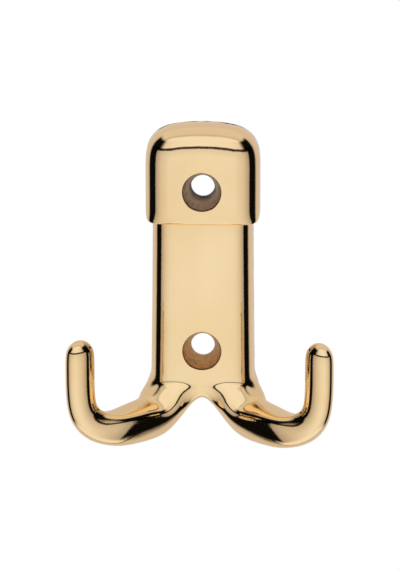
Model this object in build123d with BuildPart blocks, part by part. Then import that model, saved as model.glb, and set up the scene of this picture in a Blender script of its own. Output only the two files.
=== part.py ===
from build123d import *
import os
from math import cos, hypot, radians, sin

os.makedirs("parts", exist_ok=True)

# A double coat hook, cast in one piece. +X is right, +Y goes into the wall and +Z is up.
# The wall face is the plane Y = 0, and the origin is half way between the two screw holes.

# Screw holes, each a deep tapered countersink that ends in a short straight bore
screw_spacing = 34.0
screw_hole_diameter = 4.9
countersink_diameter = 8.4
countersink_angle = 34.0

# Head, the thicker block round the upper screw
head_width = 23.6
head_depth = 7.5
head_top = 30.4
head_bottom = 10.1
head_crown_radius = 36.0
head_corner_radius = 6.0
head_front_rounding = 4.7
head_lower_rounding = 0.9

# Shank, from the head down to the arch between the arms
shank_width_at_head = 20.8
shank_width_at_arms = 21.4
shank_depth = 6.6
shank_bottom = -26.4
shank_front_rounding = 4.4
front_bulge_radius = 60.0
arch_radius = 3.1

# Foot of the shank, which flares out on each side to carry an arm
flare_radius = 10.0
flare_turn = 50.0
flare_above_bottom = 4.4
foot_below_bottom = 5.4

# Arms, which leave the shank outwards and forwards and turn up to round tips
column_x = 24.7
column_forward = 17.0
column_radius = 3.02
column_above_bottom = 3.0
tip_above_bottom = 14.3
root_inset = 4.4
root_share_of_depth = 0.65

# Stations down an arm, each a share of its reach, the height over the shank's bottom,
# the pitch in degrees, the half width and the half thickness
arm_stations = [
    (-0.05, 7.4, -90.0, 2.6, 2.2),
    (0.03, 0.8, -62.0, 4.2, 4.8),
    (0.22, -4.0, -28.0, 4.2, 4.9),
    (0.46, -5.6, -3.0, 3.7, 4.0),
    (0.72, -5.5, 14.0, 3.2, 3.4),
    (0.90, -3.4, 44.0, 3.05, 3.15),
    (0.975, -0.8, 76.0, 3.0, 3.05),
]

# How far a rounding may eat into the side wall it runs along
rounding_share = 0.85


def side_depth(width, depth):
    """Depth of a bulged bar at its sides, where the front has curved back from its full depth."""
    return depth - width**2 / (8 * front_bulge_radius)


def bulged_bar(width, depth, bottom, top):
    """Upright bar, flat on the wall and bulging slightly to the front."""
    half = width / 2
    with BuildPart() as bar:
        with BuildSketch(Plane.XY.offset(bottom)):
            with BuildLine():
                wall = Line((half, 0), (-half, 0))
                left = Line(wall @ 1, (-half, -side_depth(width, depth)))
                front = ThreePointArc(left @ 1, (0, -depth), (half, -side_depth(width, depth)))
                Line(front @ 1, wall @ 0)
            make_face()
        extrude(amount=top - bottom)
    return bar.part


def front_edges_beside(block, nearest):
    """Edges of a block's front face whose middles lie further than nearest from the centre line."""
    front_face = block.faces().sort_by(Axis.Y)[0]
    return front_face.edges().filter_by(lambda edge: abs(edge.center().X) > nearest)


# Shank: the front outline of its right half is drawn and mirrored, and its long edges are rounded
flare_top = shank_bottom + flare_above_bottom
shank_top = head_top / 2
foot = shank_bottom - foot_below_bottom
half_at_head = shank_width_at_head / 2
half_at_arms = shank_width_at_arms / 2

with BuildPart() as shank:
    with BuildSketch(Plane.XZ) as shank_outline:
        with BuildLine():
            top = Line((0, shank_top), (half_at_head, shank_top))
            side = Line(top @ 1, (half_at_arms, flare_top))
            flare = JernArc(side @ 1, side % 1, flare_radius, flare_turn)
            under = Line(flare @ 1, (half_at_arms - root_inset, foot))
            beside = Line(under @ 1, (arch_radius, shank_bottom - arch_radius))
            arch = RadiusArc(beside @ 1, (0, shank_bottom), -arch_radius)
            mirror(about=Plane.YZ)
        make_face()
    extrude(amount=2 * shank_depth)
    flare_width = shank_outline.sketch.bounding_box().size.X
    add(bulged_bar(flare_width, shank_depth, foot, shank_top), mode=Mode.INTERSECT)
    rounding_limit = rounding_share * side_depth(flare_width, shank_depth)
    long_edges = front_edges_beside(shank, half_at_head / 2).filter_by(
        lambda edge: edge.center().Z > shank_bottom
    )
    fillet(long_edges, min(shank_front_rounding, rounding_limit))

# Head: an arched top, and a front edge rounded along the sides and the top
with BuildPart() as head:
    half_head = head_width / 2
    shoulder = head_top - half_head**2 / (2 * head_crown_radius)
    with BuildSketch(Plane.XZ) as head_outline:
        with BuildLine():
            crown = ThreePointArc((-half_head, shoulder), (0, head_top), (half_head, shoulder))
            Polyline(crown @ 1, (half_head, head_bottom), (-half_head, head_bottom), crown @ 0)
        make_face()
        fillet(head_outline.vertices().group_by(Axis.Y)[-1], head_corner_radius)
    extrude(amount=2 * head_depth)
    add(bulged_bar(head_width, head_depth, head_bottom, head_top), mode=Mode.INTERSECT)
    front_face = head.faces().sort_by(Axis.Y)[0]
    rim = front_face.edges().sort_by(Axis.Z)[1:]
    fillet(rim, min(head_front_rounding, rounding_share * side_depth(head_width, head_depth)))
    wall_edges = head.faces().sort_by(Axis.Y)[-1].edges()
    underside = head.faces().sort_by(Axis.Z)[0]
    fillet(underside.edges() - wall_edges, head_lower_rounding)

# Right arm: lofted through its stations, then an upright column with a round tip
column_bottom = shank_bottom + column_above_bottom
tip_height = shank_bottom + tip_above_bottom
root_x = half_at_arms - root_inset
root_forward = root_share_of_depth * shank_depth
out_x = column_x - root_x
out_y = root_forward - column_forward
reach = hypot(out_x, out_y)
across = (-out_y / reach, out_x / reach, 0)

with BuildPart() as arm:
    for share, rise, pitch, half_width, half_thickness in arm_stations:
        place = (root_x + share * out_x, share * out_y - root_forward, shank_bottom + rise)
        level = cos(radians(pitch)) / reach
        along = (level * out_x, level * out_y, sin(radians(pitch)))
        with BuildSketch(Plane(origin=place, x_dir=across, z_dir=along)):
            Ellipse(half_width, half_thickness)
    with BuildSketch(Plane(origin=(column_x, -column_forward, column_bottom), x_dir=across)):
        Circle(column_radius)
    loft()
    with BuildSketch(Plane.XZ.offset(column_forward)):
        with BuildLine():
            base = Line((column_x, column_bottom), (column_x + column_radius, column_bottom))
            outside = Line(base @ 1, (column_x + column_radius, tip_height - column_radius))
            dome = RadiusArc(outside @ 1, (column_x, tip_height), -column_radius)
            Line(dome @ 1, base @ 0)
        make_face()
    revolve(axis=Axis((column_x, -column_forward, 0), (0, 0, 1)))

# The casting: all of it joined, then drilled from the front for its two screws
with BuildPart() as coat_hook:
    add(shank.part)
    add(head.part)
    add(arm.part)
    add(mirror(arm.part, about=Plane.YZ, mode=Mode.PRIVATE))
    for height, depth in ((screw_spacing / 2, head_depth), (-screw_spacing / 2, shank_depth)):
        with Locations(Plane(origin=(0, -depth, height), z_dir=(0, -1, 0))):
            CounterSinkHole(
                radius=screw_hole_diameter / 2,
                counter_sink_radius=countersink_diameter / 2,
                depth=depth,
                counter_sink_angle=countersink_angle,
            )

coat_hook.part.label = "coat_hook"
export_step(coat_hook.part, "parts/coat_hook.step")
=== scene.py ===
from math import atan2, cos, hypot, pi, radians, sin

import bmesh
import bpy
from mathutils import Matrix, Vector


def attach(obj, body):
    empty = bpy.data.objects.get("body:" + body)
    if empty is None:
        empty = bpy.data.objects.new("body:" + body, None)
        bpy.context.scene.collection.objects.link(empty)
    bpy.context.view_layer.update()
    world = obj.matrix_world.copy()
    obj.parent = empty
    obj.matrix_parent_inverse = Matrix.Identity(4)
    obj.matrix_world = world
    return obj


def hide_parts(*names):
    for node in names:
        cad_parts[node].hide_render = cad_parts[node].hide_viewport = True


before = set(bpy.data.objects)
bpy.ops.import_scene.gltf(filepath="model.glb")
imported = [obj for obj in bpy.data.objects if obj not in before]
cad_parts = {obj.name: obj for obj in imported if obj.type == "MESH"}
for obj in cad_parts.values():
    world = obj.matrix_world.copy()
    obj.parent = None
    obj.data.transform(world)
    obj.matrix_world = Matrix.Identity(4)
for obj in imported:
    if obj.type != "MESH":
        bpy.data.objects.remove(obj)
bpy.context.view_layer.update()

# Casting: the whole hook, brass poured in one piece, then ground smooth, polished and gilded. It is
# laid as cages of points that are smoothed by subdivision, the head's and the rest's.
# Points are in millimetres: x to the right, forward out of the wall, and height.
millimetre = 0.001
bulge_radius = 60.0


def swell(step):
    """How much larger a round of points is than the circle it is smoothed to, by its step in degrees."""
    return 3 / (2 + cos(radians(step)))


def lay(form, points, closed=False):
    """Lays a chain of edges through points, reusing a vertex that is already there."""
    verts = []
    for x, forward, height in points:
        place = Vector((x, -forward, height))
        near = [v for v in form.verts if (v.co - place).length < 1e-5]
        verts.append(near[0] if near else form.verts.new(place))
    pairs = list(zip(verts, verts[1:] + verts[:1] if closed else verts[1:]))
    return [form.edges.get(pair) or form.edges.new(pair) for pair in pairs]


def bridge(form, chains):
    """Skins each chain to the next."""
    for chain, following in zip(chains, chains[1:]):
        bmesh.ops.bridge_loops(form, edges=chain + following)


def finish_cage(form, name):
    """Keeps the wall face's outline sharp, and makes a subdivided object of a cage."""
    crease = form.edges.layers.float.new("crease_edge")
    hair = 1e-6
    for edge in form.edges:
        on_wall = all(abs(v.co.y) < hair for v in edge.verts)
        if on_wall and any(abs(f.calc_center_median().y) > hair for f in edge.link_faces):
            edge[crease] = 1.0
    bmesh.ops.transform(form, matrix=Matrix.Scale(millimetre, 4), verts=form.verts)
    bmesh.ops.recalc_face_normals(form, faces=form.faces)
    for face in form.faces:
        face.smooth = True
    mesh = bpy.data.meshes.new(name)
    form.to_mesh(mesh)
    form.free()
    piece = bpy.data.objects.new(name, mesh)
    bpy.context.scene.collection.objects.link(piece)
    smooth = piece.modifiers.new("smooth", "SUBSURF")
    smooth.levels = smooth.render_levels = 3
    return piece


# Head: the thick block round the upper screw, cast with the rest. Outlines are stacked from the wall
# forward. The front edge is rounded along the sides and the crown, and a little at the underside.
head_half_width, head_depth = 11.8, 7.5
head_top, head_bottom = 30.4, 9.8
side_rounding, crown_rounding, lower_rounding = 4.7, 5.2, 1.3
crown_radius, corner_radius = 36.0, 6.0
side_heights = (13.5, 17.0, 20.6)
lower_corner_growth = 0.3
corner_x = head_half_width - corner_radius
crown_centre = head_top - crown_radius
corner_height = crown_centre + ((crown_radius - corner_radius) ** 2 - corner_x**2) ** 0.5
crown_turn = atan2(corner_height - crown_centre, corner_x)


def head_outline(side_inset, crown_inset, lower_inset, forward, crown_forward, lower_forward):
    """Right half of the head's outline from the front, from the underside round to the crown."""
    side = head_half_width - side_inset
    low = head_bottom + lower_inset
    lower_corner = lower_rounding + lower_corner_growth * side_inset
    hub = (side - lower_corner, low + lower_corner)
    reach = lower_corner * swell(45) * cos(radians(45))
    mid_forward = (forward + lower_forward) / 2
    points = [(side * share, lower_forward, low) for share in (0, 0.33, 0.66)]
    points += [(hub[0], lower_forward, low), (hub[0] + reach, mid_forward, hub[1] - reach)]
    points += [(side, forward, height) for height in (hub[1], *side_heights)]
    for share in (0, 1 / 3, 2 / 3, 1):
        turn = crown_turn * share
        reach = corner_radius - side_inset * (1 - share) - crown_inset * share
        corner_forward = forward * (1 - share) + crown_forward * share
        points.append((corner_x + reach * cos(turn), corner_forward, corner_height + reach * sin(turn)))
    for share in (0.5, 0):
        turn = pi / 2 - (pi / 2 - crown_turn) * share
        reach = crown_radius - crown_inset
        points.append((reach * cos(turn), crown_forward, crown_centre + reach * sin(turn)))
    return points


def whole_outline(half):
    """Closes a half outline with its mirror image, and bends the front back towards the sides."""
    ring = half + [(-x, forward, height) for x, forward, height in half[-2:0:-1]]
    return [(x, f * (1 - x**2 / (2 * bulge_radius * head_depth)), height) for x, f, height in ring]


# Levels: how far the side, the crown and the underside are set in, then how far forward each lies
roundings = (side_rounding, crown_rounding, lower_rounding)
levels = [(0, 0, 0, 0, 0, 0), (0, 0, 0, 1.4, 1.2, 3.4)]
levels.append((0, 0, 0, *(head_depth - one for one in roundings)))
for tilt in (22.5, 45, 67.5):
    out, rise = cos(radians(tilt)) * swell(22.5), sin(radians(tilt)) * swell(22.5)
    insets = [one * (1 - out) for one in roundings]
    levels.append((*insets, *(head_depth - one * (1 - rise) for one in roundings)))
for extra, proud in ((0, 0.04), (0.5, 0)):
    levels.append((
        side_rounding + extra, crown_rounding + extra, lower_rounding + extra * 0.5,
        head_depth + proud, head_depth + proud, head_depth + proud / 2,
    ))
outlines = [head_outline(*one) for one in levels]

# The front closes on a round ring outside the screw hole
screw_height, ring_radius = 17.0, 4.6
rim = outlines[-1]
round_hole = []
for x, forward, height in rim:
    turn = atan2(height - screw_height, x)
    round_hole.append((ring_radius * cos(turn), head_depth, screw_height + ring_radius * sin(turn)))
between = [tuple((a + b) / 2 for a, b in zip(p, q)) for p, q in zip(rim, round_hole)]
outlines += [[(x, head_depth, height) for x, forward, height in between], round_hole]

head = bmesh.new()
stack = [lay(head, whole_outline(half), closed=True) for half in outlines]
bridge(head, stack)
bmesh.ops.contextual_create(head, geom=stack[0])
bmesh.ops.contextual_create(head, geom=stack[-1])
head_block = finish_cage(head, "head_block")

# Shank and arms: the slim bar under the head and the two hooks it forks into, cast with the head.
# Rings run down the right half of the shank, then square to the arm's run, and the half is mirrored.
casting = bmesh.new()
shank_depth, shank_rounding, shank_draft = 6.6, 4.4, 0.15
edge_lift, screw_clearance = 0.05, 2.8


def shank_ring(half_width, height):
    """Right half of the shank's section, from the wall round to the middle of the front."""
    side = half_width - shank_draft
    corner_x = side - shank_rounding
    corner_forward = shank_depth - corner_x**2 / (2 * bulge_radius) - shank_rounding
    reach = shank_rounding * swell(22.5)
    arc = [
        (corner_x + reach * cos(radians(turn)), corner_forward + reach * sin(radians(turn)), height)
        for turn in (0, 22.5, 45, 67.5)
    ]
    arc.append((corner_x, corner_forward + shank_rounding + edge_lift, height))
    inner_forward = shank_depth - screw_clearance**2 / (2 * bulge_radius)
    front = [(screw_clearance, inner_forward, height), (0, shank_depth, height)]
    return [(0, 0, height), (screw_clearance, 0, height), (half_width, 0, height), *arc, *front]


height_inside_head = 14.0
top_ring = shank_ring(10.4, height_inside_head)
rings = [top_ring]
for half_width, height in ((10.4, 8.0), (10.5, -2.0), (10.6, -12.0), (10.7, -19.0), (10.75, -22.0)):
    rings.append(shank_ring(half_width, height))

# Crease where the arm's shoulder stands out of the shank's front, with a ring close above it to keep
# it tight, then the fork
heights_above = (-23.6, -23.8, -22.9, -22.9, -23.3, -24.2, -22.9, -23.0, -23.2, -23.8)
rings.append([(x, f, high) for (x, f, _), high in zip(shank_ring(10.8, 0), heights_above)])
rings.append([
    (0, 0, -24.2), (2.8, 0, -24.4), (11.3, 0, -24.6), (11.3, 1.9, -24.5), (11.0, 3.6, -24.9),
    (9.7, 5.1, -25.3), (8.6, 5.95, -24.0), (4.6, 6.45, -23.9), (3.0, 6.5, -24.1), (0, 6.6, -24.6),
])
fork = [
    (0, 0, -26.0), (3.0, 0, -28.0), (12.4, 0, -27.2), (12.7, 2.0, -26.6), (12.5, 3.9, -26.1),
    (10.9, 5.7, -26.4), (9.1, 7.1, -25.3), (4.9, 7.7, -25.0), (3.0, 7.1, -25.4), (0, 6.5, -26.0),
]
rings.append(fork)
chains = [lay(casting, ring) for ring in rings]
bridge(casting, chains)

# The top, which is inside the head, closes with four faces between points of its ring
for cap in ((0, 1, 8, 9), (1, 2, 7, 8), (2, 3, 6, 7), (3, 4, 5, 6)):
    bmesh.ops.contextual_create(casting, geom=lay(casting, [top_ring[i] for i in cap], closed=True))

# Stations down the arm: x, forward, height, heading in plan, pitch, how far the section rolls its
# inner side down, half width, half thickness, and how square the section is
tip_height, dome = -12.05, 3.3
column = (24.5, 17.3)
column_section = (35, 90, 0, 2.3, 3.2, 2)
stations = [
    (9.9, 6.1, -31.0, 46, -28, 20, 4.3, 4.1, 3.0),
    (12.2, 8.6, -31.4, 46, -14, 17, 3.9, 4.1, 3.0),
    (15.0, 11.5, -31.55, 45, -4, 14, 3.5, 3.8, 3.3),
    (17.8, 14.5, -31.6, 45, 6, 9, 3.0, 3.5, 3.4),
    (21.2, 16.7, -30.6, 43, 32, 3, 2.6, 3.4, 2.7),
    (23.9, 17.3, -27.9, 37, 64, 0, 2.4, 3.3, 2),
    (*column, -23.8, *column_section),
    (*column, -18.0, *column_section),
    (*column, tip_height - dome, *column_section),
]
for tilt in (30, 60, 82):
    share = cos(radians(tilt)) * swell(30)
    height = tip_height - dome + dome * sin(radians(tilt)) * swell(30)
    heading, pitch, roll, half_width, half_thickness, square = column_section
    half_sizes = (half_width * share, half_thickness * share)
    stations.append((*column, height, heading, pitch, roll, *half_sizes, square))
ring_points = len(fork) + 1


def arm_ring(x, forward, height, heading, pitch, roll, half_width, half_thickness, square):
    """A ring round the arm, counted from its underside and by the wall, as the fork's points are."""
    ahead = Vector((cos(radians(heading)), sin(radians(heading)), 0))
    inner = Vector((-ahead.y, ahead.x, 0))
    over = Vector((0, 0, cos(radians(pitch)))) - ahead * sin(radians(pitch))
    rolled = inner * cos(radians(roll)) - over * sin(radians(roll))
    over = over * cos(radians(roll)) + inner * sin(radians(roll))
    points = []
    for step in range(ring_points):
        turn = pi + 2 * pi * step / ring_points
        wide = abs(sin(turn)) ** (2 / square) * (1 if sin(turn) > 0 else -1)
        tall = abs(cos(turn)) ** (2 / square) * (1 if cos(turn) > 0 else -1)
        across = rolled * half_width * wide + over * half_thickness * tall
        points.append(tuple(Vector((x, forward, height)) + across * swell(360 / ring_points)))
    return points


# Shoulder, the ring between the fork and the arm's first station
shoulder = [
    (4.3, 2.0, -31.0), (8.0, 0.8, -32.0), (12.2, 0.8, -29.4), (13.0, 2.3, -27.9), (13.1, 4.2, -26.6),
    (11.6, 6.8, -27.0), (9.0, 8.5, -26.8), (4.8, 8.9, -28.2), (3.8, 7.7, -29.4), (3.4, 6.0, -30.1),
    (3.4, 4.0, -30.4),
]
arm_rings = [lay(casting, fork + [(0, 3.3, -26.0)], closed=True), lay(casting, shoulder, closed=True)]
arm_rings += [lay(casting, arm_ring(*station), closed=True) for station in stations]
bridge(casting, arm_rings)
bmesh.ops.contextual_create(casting, geom=arm_rings[-1])
right_half = casting.verts[:] + casting.edges[:] + casting.faces[:]
bmesh.ops.mirror(casting, geom=right_half, axis="X", merge_dist=1e-4)
hook = finish_cage(casting, "hook_casting")

# Screw holes: a countersink and a bore through the casting at each, drilled from the front after
# casting, with a small worn lip in front. The polishing wheel doesn't reach down them. In metres.
hole_height = screw_height * millimetre
bore_radius, sink_radius = 0.00245, 0.0042
lip_width, lip_depth = 0.00018, 0.00025
sink_half_angle = radians(17)
past_wall, past_front = 0.002, 0.003
cutter_mesh = bpy.data.meshes.new("drill")
drill = bmesh.new()
fronts = (head_depth * millimetre, shank_depth * millimetre)
for height, front in zip((hole_height, -hole_height), fronts):
    lip = sink_radius - lip_width
    sink_depth = (lip - bore_radius) * cos(sink_half_angle) / sin(sink_half_angle) + lip_depth
    profile = [
        (0, past_wall), (bore_radius, past_wall), (bore_radius, sink_depth - front),
        (lip, lip_depth - front), (lip + lip_width / 3, 0.44 * lip_depth - front),
        (sink_radius + lip_width / 9, -front), (sink_radius + past_front, -front - past_front),
        (0, -front - past_front),
    ]
    verts = [drill.verts.new((x, y, height)) for x, y in profile]
    edges = [drill.edges.new(pair) for pair in zip(verts, verts[1:])]
    bmesh.ops.spin(
        drill, geom=verts + edges, cent=(0, 0, height), axis=(0, 1, 0), angle=2 * pi, steps=96,
        use_merge=True,
    )
bmesh.ops.remove_doubles(drill, verts=drill.verts, dist=1e-6)
bmesh.ops.recalc_face_normals(drill, faces=drill.faces)
drill.to_mesh(cutter_mesh)
drill.free()
cutter = bpy.data.objects.new("drill", cutter_mesh)
bpy.context.scene.collection.objects.link(cutter)
cast_on = hook.modifiers.new("head", "BOOLEAN")
cast_on.operation = "UNION"
cast_on.solver = "EXACT"
cast_on.object = head_block
holes = hook.modifiers.new("holes", "BOOLEAN")
holes.operation = "DIFFERENCE"
holes.solver = "EXACT"
holes.object = cutter
bpy.context.view_layer.update()
drilled = bpy.data.meshes.new_from_object(hook.evaluated_get(bpy.context.evaluated_depsgraph_get()))
hook.modifiers.clear()
hook.data = drilled
bpy.data.objects.remove(cutter)
bpy.data.objects.remove(head_block)
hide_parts("coat_hook")
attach(hook, "root")


def linear(code):
    """Turns an sRGB hex colour to linear."""
    parts = [int(code[i : i + 2], 16) / 255 for i in (1, 3, 5)]
    return [p / 12.92 if p <= 0.04045 else ((p + 0.055) / 1.055) ** 2.4 for p in parts] + [1.0]


def add_node(tree, kind, settings=(), stops=(), **links):
    """Adds a node, sets its properties, sockets and any colour stops, and links sockets by name."""
    node = tree.nodes.new(kind)
    for key, value in dict(settings).items():
        if isinstance(key, str) and hasattr(node, key) and key not in node.inputs:
            setattr(node, key, value)
        else:
            node.inputs[key].default_value = value
    for place, colour in stops[2:]:
        node.color_ramp.elements.new(place)
    for element, (place, colour) in zip(node.color_ramp.elements if stops else (), stops):
        element.position = place
        element.color = (*colour[:3], 1.0)
    for key, source in links.items():
        name = int(key[1:]) if key[1:].isdigit() else key.replace("_", " ")
        tree.links.new(source, node.inputs[name])
    return node


# Gilt brass: buffed to a mirror, then plated. Buffing leaves low ripples about 2 mm across and the
# casting a fine grain of 0.35 mm, so the edges of reflections waver, and the tone drifts slightly.
# A ragged dark brown line along the back edge, off the wall face, is painted shade, and it is rougher
# there.
gilt = bpy.data.materials.new("gilt_brass_mirror_polished")
gilt.use_nodes = True
tree = gilt.node_tree
shader = tree.nodes["Principled BSDF"]
shader.inputs["Metallic"].default_value = 1.0
texture = add_node(tree, "ShaderNodeTexCoord").outputs
where = texture["Object"]
drift = add_node(tree, "ShaderNodeTexNoise", {"Scale": 1 / 0.014, "Detail": 2.0}, Vector=where)
tone = add_node(tree, "ShaderNodeValToRGB", stops=[
    (0.36, linear("#F9DBAA")), (0.64, linear("#FCE1B4")),
], Fac=drift.outputs[0])
frayed = add_node(tree, "ShaderNodeTexNoise", {"Scale": 1 / 0.003, "Detail": 4.0}, Vector=where)
forward = add_node(tree, "ShaderNodeSeparateXYZ", Vector=where)
# Painted shade: a ragged band along the back edge, off the wall face, mixed to dark brown #5A3A20 and
# made rougher.
ragged = add_node(tree, "ShaderNodeMath", {"operation": "MULTIPLY_ADD", 1: 0.004}, _0=frayed.outputs[0],
                  _2=forward.outputs["Y"])
at_edge = add_node(tree, "ShaderNodeMapRange", {"From Min": 0.0016, "From Max": 0.0018},
                   Value=ragged.outputs[0])
normal = add_node(tree, "ShaderNodeSeparateXYZ", Vector=texture["Normal"])
not_back = add_node(tree, "ShaderNodeMath", {"operation": "LESS_THAN", 1: 0.9}, _0=normal.outputs["Y"])
painted_back_edge_shade = add_node(tree, "ShaderNodeMath", {"operation": "MULTIPLY"}, _0=at_edge.outputs[0],
                      _1=not_back.outputs[0])
# The tone with the painted shade along the back edge mixed in.
coat = add_node(tree, "ShaderNodeMix", {"data_type": "RGBA", 7: linear("#5A3A20")},
                _0=painted_back_edge_shade.outputs[0], _6=tone.outputs[0])
tree.links.new(coat.outputs[2], shader.inputs["Base Color"])
ripple = add_node(tree, "ShaderNodeTexNoise", {"Scale": 1 / 0.002, "Detail": 1.0}, Vector=where)
grain = add_node(tree, "ShaderNodeTexNoise", {"Scale": 1 / 0.00035, "Detail": 2.0}, Vector=where)
haze = add_node(tree, "ShaderNodeMapRange", {
    "From Min": 0.35, "From Max": 0.7, "To Min": 0.05, "To Max": 0.09,
}, Value=grain.outputs[0])
dulled = add_node(tree, "ShaderNodeMath", {"operation": "MULTIPLY_ADD", 1: 0.42},
                  _0=painted_back_edge_shade.outputs[0], _2=haze.outputs[0])
tree.links.new(dulled.outputs[0], shader.inputs["Roughness"])
waver = add_node(tree, "ShaderNodeBump", {"Strength": 1.0, "Distance": 0.000012},
                 Height=ripple.outputs[0])
grained = add_node(tree, "ShaderNodeBump", {"Strength": 1.0, "Distance": 0.0000035},
                   Height=grain.outputs[0], Normal=waver.outputs[0])
tree.links.new(grained.outputs[0], shader.inputs["Normal"])

# Drilled brass: dull walls with rings 0.3 mm apart from the drill, stained brown in blotches of
# about 1 mm, with a painted dark line just inside the lip, a painted reflection of its rounded edge.
# The upper bore is grey-brown and near black by the wall with painted shade, and the lower one is
# copper-red with less painted shade.
bare = bpy.data.materials.new("drilled_brass_stained")
bare.use_nodes = True
tree = bare.node_tree
shader = tree.nodes["Principled BSDF"]
shader.inputs["Metallic"].default_value = 1.0
where = add_node(tree, "ShaderNodeTexCoord").outputs["Object"]
blotch = add_node(tree, "ShaderNodeTexNoise", {"Scale": 1 / 0.001, "Detail": 4.0}, Vector=where)
stain = add_node(tree, "ShaderNodeValToRGB", stops=[
    (0.30, linear("#AD9479")), (0.50, linear("#D2B797")), (0.72, linear("#E8CFB0")),
], Fac=blotch.outputs[0])
place = add_node(tree, "ShaderNodeSeparateXYZ", Vector=where).outputs
upper = add_node(tree, "ShaderNodeMapRange", {"From Min": -0.004, "From Max": 0.004}, Value=place["Z"])
tint = add_node(tree, "ShaderNodeMix", {
    "data_type": "RGBA", 6: (1.17, 0.97, 0.61, 1), 7: (1, 1, 1, 1),
}, _0=upper.outputs[0])
stained = add_node(tree, "ShaderNodeMix", {"data_type": "RGBA", "blend_type": "MULTIPLY", 0: 1.0},
                   _6=stain.outputs[0], _7=tint.outputs[2])
# Painted shade: the bore darkens towards the wall, fully in the upper hole and a fifth as much in the
# lower one.
ragged = add_node(tree, "ShaderNodeMath", {"operation": "MULTIPLY_ADD", 1: 0.0016}, _0=blotch.outputs[0],
                  _2=place["Y"])
by_wall = add_node(tree, "ShaderNodeMapRange", {"From Min": -0.0032, "From Max": -0.0010},
                   Value=ragged.outputs[0])
wall_shade_strength = add_node(tree, "ShaderNodeMapRange", {"To Min": 0.2, "To Max": 1.0}, Value=upper.outputs[0])
painted_wall_shade = add_node(tree, "ShaderNodeMath", {"operation": "MULTIPLY"}, _0=by_wall.outputs[0],
                     _1=wall_shade_strength.outputs[0])
folded = add_node(tree, "ShaderNodeMath", {"operation": "ABSOLUTE"}, _0=place["Z"])
above_axis = add_node(tree, "ShaderNodeMath", {"operation": "SUBTRACT", 1: hole_height},
                      _0=folded.outputs[0])
across = add_node(tree, "ShaderNodeCombineXYZ", X=place["X"], Y=above_axis.outputs[0])
radius = add_node(tree, "ShaderNodeVectorMath", {"operation": "LENGTH"}, _0=across.outputs[0])
# Painted reflection: a dark line just inside the lip of each countersink.
painted_lip_line = add_node(tree, "ShaderNodeMapRange", {
    "From Min": 0.00380, "From Max": 0.00398, "To Min": 0.0, "To Max": 0.8,
}, Value=radius.outputs["Value"])
# The painted shade by the wall and the painted lip line darken the stained walls towards #2A1A10.
painted_shade_and_lip_line = add_node(tree, "ShaderNodeMath", {"operation": "MAXIMUM"}, _0=painted_wall_shade.outputs[0],
                 _1=painted_lip_line.outputs[0])
stained_with_painted_shade = add_node(tree, "ShaderNodeMix", {"data_type": "RGBA", 7: linear("#2A1A10")},
                  _0=painted_shade_and_lip_line.outputs[0], _6=stained.outputs[2])
tree.links.new(stained_with_painted_shade.outputs[2], shader.inputs["Base Color"])
dull = add_node(tree, "ShaderNodeMapRange", {
    "From Min": 0.3, "From Max": 0.7, "To Min": 0.42, "To Max": 0.62,
}, Value=blotch.outputs[0])
tree.links.new(dull.outputs[0], shader.inputs["Roughness"])
drill_rings = add_node(tree, "ShaderNodeTexWave", {
    "bands_direction": "Y", "Scale": 0.314 / 0.0003, "Distortion": 3.0, "Detail": 2.0,
}, Vector=where)
scored = add_node(tree, "ShaderNodeBump", {"Strength": 1.0, "Distance": 0.000018},
                  Height=drill_rings.outputs[1])
pitted = add_node(tree, "ShaderNodeBump", {"Strength": 1.0, "Distance": 0.00008},
                  Height=blotch.outputs[0], Normal=scored.outputs[0])
tree.links.new(pitted.outputs[0], shader.inputs["Normal"])

# Faces in the holes are drilled brass and all others gilt. Edges of no length, which the cuts leave
# on the wall face, are merged, and edges that turn sharply stay sharp.
in_hole = sink_radius - lip_width + 0.00001
sharp_turn = radians(28)
drilled.materials.clear()
drilled.materials.append(gilt)
drilled.materials.append(bare)
shell = bmesh.new()
shell.from_mesh(drilled)
bmesh.ops.remove_doubles(shell, verts=shell.verts, dist=2e-6)
for face in shell.faces:
    centre = face.calc_center_median()
    from_axis = min(hypot(centre.x, centre.z - hole_height), hypot(centre.x, centre.z + hole_height))
    face.material_index = int(from_axis < in_hole and abs(face.normal.y) < 0.95)
    face.smooth = True
for edge in shell.edges:
    if len(edge.link_faces) == 2 and edge.calc_face_angle() > sharp_turn:
        edge.smooth = False
shell.to_mesh(drilled)
shell.free()

# Floor: a matt white card well under the hook, which hangs on a wall and touches it nowhere. The
# camera sees it as plain white, and reflections pass through it, so the metal shows the studio only.
floor_half_size, floor_height = 0.6, -0.5
floor_mesh = bpy.data.meshes.new("floor")
slab = bmesh.new()
bmesh.ops.create_grid(
    slab, x_segments=1, y_segments=1, size=floor_half_size,
    matrix=Matrix.Translation((0, 0, floor_height)),
)
slab.to_mesh(floor_mesh)
slab.free()
floor = bpy.data.objects.new("floor", floor_mesh)
bpy.context.scene.collection.objects.link(floor)
floor_paint = bpy.data.materials.new("floor_paint")
floor_paint.use_nodes = True
tree = floor_paint.node_tree
tree.nodes.clear()
path = add_node(tree, "ShaderNodeLightPath").outputs
matt = add_node(tree, "ShaderNodeBsdfDiffuse", {"Color": linear("#F4F3F0")})
white = add_node(tree, "ShaderNodeEmission", {"Color": (1, 1, 1, 1), "Strength": 1.0})
clear = add_node(tree, "ShaderNodeBsdfTransparent")
seen = add_node(tree, "ShaderNodeMixShader", _0=path["Is Camera Ray"], _1=matt.outputs[0],
                _2=white.outputs[0])
mirrored = add_node(tree, "ShaderNodeMixShader", _0=path["Is Glossy Ray"], _1=seen.outputs[0],
                    _2=clear.outputs[0])
add_node(tree, "ShaderNodeOutputMaterial", Surface=mirrored.outputs[0])
floor_mesh.materials.append(floor_paint)

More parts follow.
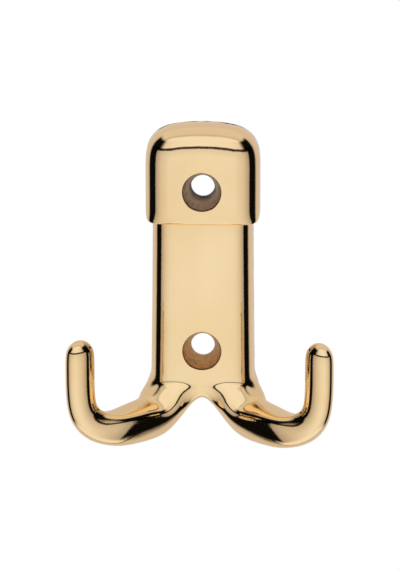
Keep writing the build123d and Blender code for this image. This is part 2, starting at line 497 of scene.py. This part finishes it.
# Studio: a soft surround of pale panels, with a dark gap between the front ones and the rear ones
# at each side, and a thin one above the front panels. A direction's turn from the front, 0 to 180
# degrees, and its rise, -90 to 90, become the shares of a ramp from 0 to 1.
world = bpy.data.worlds.new("studio")
bpy.context.scene.world = world
world.use_nodes = True
tree = world.node_tree
tree.nodes.clear()
aim = add_node(tree, "ShaderNodeTexCoord").outputs["Generated"]
split = add_node(tree, "ShaderNodeSeparateXYZ", Vector=aim).outputs
front = add_node(tree, "ShaderNodeMath", {"operation": "MULTIPLY", 1: -1.0}, _0=split["Y"]).outputs[0]
aside = add_node(tree, "ShaderNodeMath", {"operation": "ABSOLUTE"}, _0=split["X"]).outputs[0]
turn = add_node(tree, "ShaderNodeMath", {"operation": "ARCTAN2"}, _0=aside, _1=front).outputs[0]
turn = add_node(tree, "ShaderNodeMath", {"operation": "DIVIDE", 1: pi}, _0=turn).outputs[0]
rise = add_node(tree, "ShaderNodeMath", {"operation": "ARCSINE"}, _0=split["Z"]).outputs[0]
rise = add_node(tree, "ShaderNodeMath", {"operation": "MULTIPLY_ADD", 1: 1 / pi, 2: 0.5},
                _0=rise).outputs[0]
frontness = add_node(tree, "ShaderNodeMath", {"operation": "MULTIPLY_ADD", 1: 0.5, 2: 0.5},
                     _0=front).outputs[0]

gap, rear, full, none = (0.004, 0.004, 0.004), (0.70, 0.64, 0.61), (1, 1, 1), (0, 0, 0)
low_panels = add_node(tree, "ShaderNodeValToRGB", stops=[(degrees / 180, colour) for degrees, colour in (
    (0, (0.92, 0.92, 0.90)), (20, (0.87, 0.865, 0.84)), (40, (0.77, 0.74, 0.70)),
    (53, (0.66, 0.61, 0.57)), (69, (0.43, 0.395, 0.38)), (72, gap), (102, gap),
    (110, (0.55, 0.51, 0.49)), (118, rear),
)], Fac=turn).outputs[0]
high_panels = add_node(tree, "ShaderNodeValToRGB", stops=[(degrees / 180, colour) for degrees, colour in (
    (0, (0.96, 0.97, 0.96)), (20, (0.92, 0.92, 0.90)), (44, (0.80, 0.78, 0.74)),
    (53, (0.34, 0.30, 0.26)), (61, gap), (100, gap), (110, (0.55, 0.51, 0.49)), (118, rear),
)], Fac=turn).outputs[0]
higher = add_node(tree, "ShaderNodeValToRGB", stops=[(0.5 + degrees / 180, share) for degrees, share in (
    (12, none), (16, full),
)], Fac=rise).outputs[0]
panels = add_node(tree, "ShaderNodeMix", {"data_type": "RGBA"}, _0=higher, _6=low_panels,
                  _7=high_panels).outputs[2]
dark = (0.05, 0.04, 0.03)
slit = add_node(tree, "ShaderNodeValToRGB", stops=[(0.5 + degrees / 180, colour) for degrees, colour in (
    (-15, full), (9, (0.88, 0.88, 0.88)), (11, dark), (18, dark), (20, full),
)], Fac=rise).outputs[0]
facing = add_node(tree, "ShaderNodeValToRGB", stops=[(80 / 180, full), (100 / 180, none)],
                  Fac=turn).outputs[0]
shade = add_node(tree, "ShaderNodeMix", {"data_type": "RGBA", 6: (1, 1, 1, 1)}, _0=facing,
                 _7=slit).outputs[2]
around = add_node(tree, "ShaderNodeMix", {"data_type": "RGBA", "blend_type": "MULTIPLY", 0: 1.0},
                  _6=panels, _7=shade).outputs[2]

ceiling, line = (0.76, 0.71, 0.65), (0.1, 0.08, 0.06)
overhead = add_node(tree, "ShaderNodeValToRGB", stops=[(0.5 + share / 2, colour) for share, colour in (
    (0.16, ceiling), (0.24, (0.62, 0.58, 0.53)), (0.30, (0.62, 0.58, 0.53)), (0.40, (0.95, 0.95, 0.95)),
    (1, (0.98, 0.98, 0.98)),
)], Fac=frontness).outputs[0]
below = add_node(tree, "ShaderNodeValToRGB", stops=[(0.5 + share / 2, colour) for share, colour in (
    (-0.04, rear), (-0.02, line), (0.02, line), (0.05, (0.95, 0.95, 0.93)), (1, (0.92, 0.92, 0.90)),
)], Fac=frontness).outputs[0]
is_up = add_node(tree, "ShaderNodeMath", {"operation": "GREATER_THAN", 1: 0.0}, _0=split["Z"]).outputs[0]
pole = add_node(tree, "ShaderNodeMix", {"data_type": "RGBA"}, _0=is_up, _6=below, _7=overhead).outputs[2]
near_pole = add_node(tree, "ShaderNodeValToRGB", stops=[(0.5 + angle / 180, share) for angle, share in (
    (-50, full), (-40, none), (44, none), (53, full),
)], Fac=rise).outputs[0]
surround = add_node(tree, "ShaderNodeMix", {"data_type": "RGBA"}, _0=near_pole, _6=around,
                    _7=pole).outputs[2]
path = add_node(tree, "ShaderNodeLightPath").outputs
seen = add_node(tree, "ShaderNodeMix", {"data_type": "RGBA", 7: (1, 1, 1, 1)}, _0=path["Is Camera Ray"],
                _6=surround).outputs[2]
glow = add_node(tree, "ShaderNodeBackground", {"Strength": 1.0}, Color=seen)
add_node(tree, "ShaderNodeOutputWorld", Surface=glow.outputs[0])

# Camera: a long lens a metre away, 15 degrees above the hook and a little to its right, aimed so that
# the hook lies where it does in the photograph. Colours are shown as they are, with no film curve.
azimuth, elevation, distance = radians(2.5), radians(15), 1.0
aim_right, aim_up = -0.00066, -0.00439
image_height, pixels_per_metre, sensor_width = 570, 4830, 36
back = Vector((sin(azimuth) * cos(elevation), -cos(azimuth) * cos(elevation), sin(elevation)))
right = Vector((cos(azimuth), sin(azimuth), 0))
target = right * aim_right + back.cross(right) * aim_up
camera_data = bpy.data.cameras.new("camera")
camera_data.lens = sensor_width * distance / (image_height / pixels_per_metre)
camera = bpy.data.objects.new("camera", camera_data)
camera.location = target + back * distance
camera.rotation_euler = back.to_track_quat("Z", "Y").to_euler()
bpy.context.scene.collection.objects.link(camera)
bpy.context.scene.camera = camera
bpy.context.scene.view_settings.view_transform = "Standard"
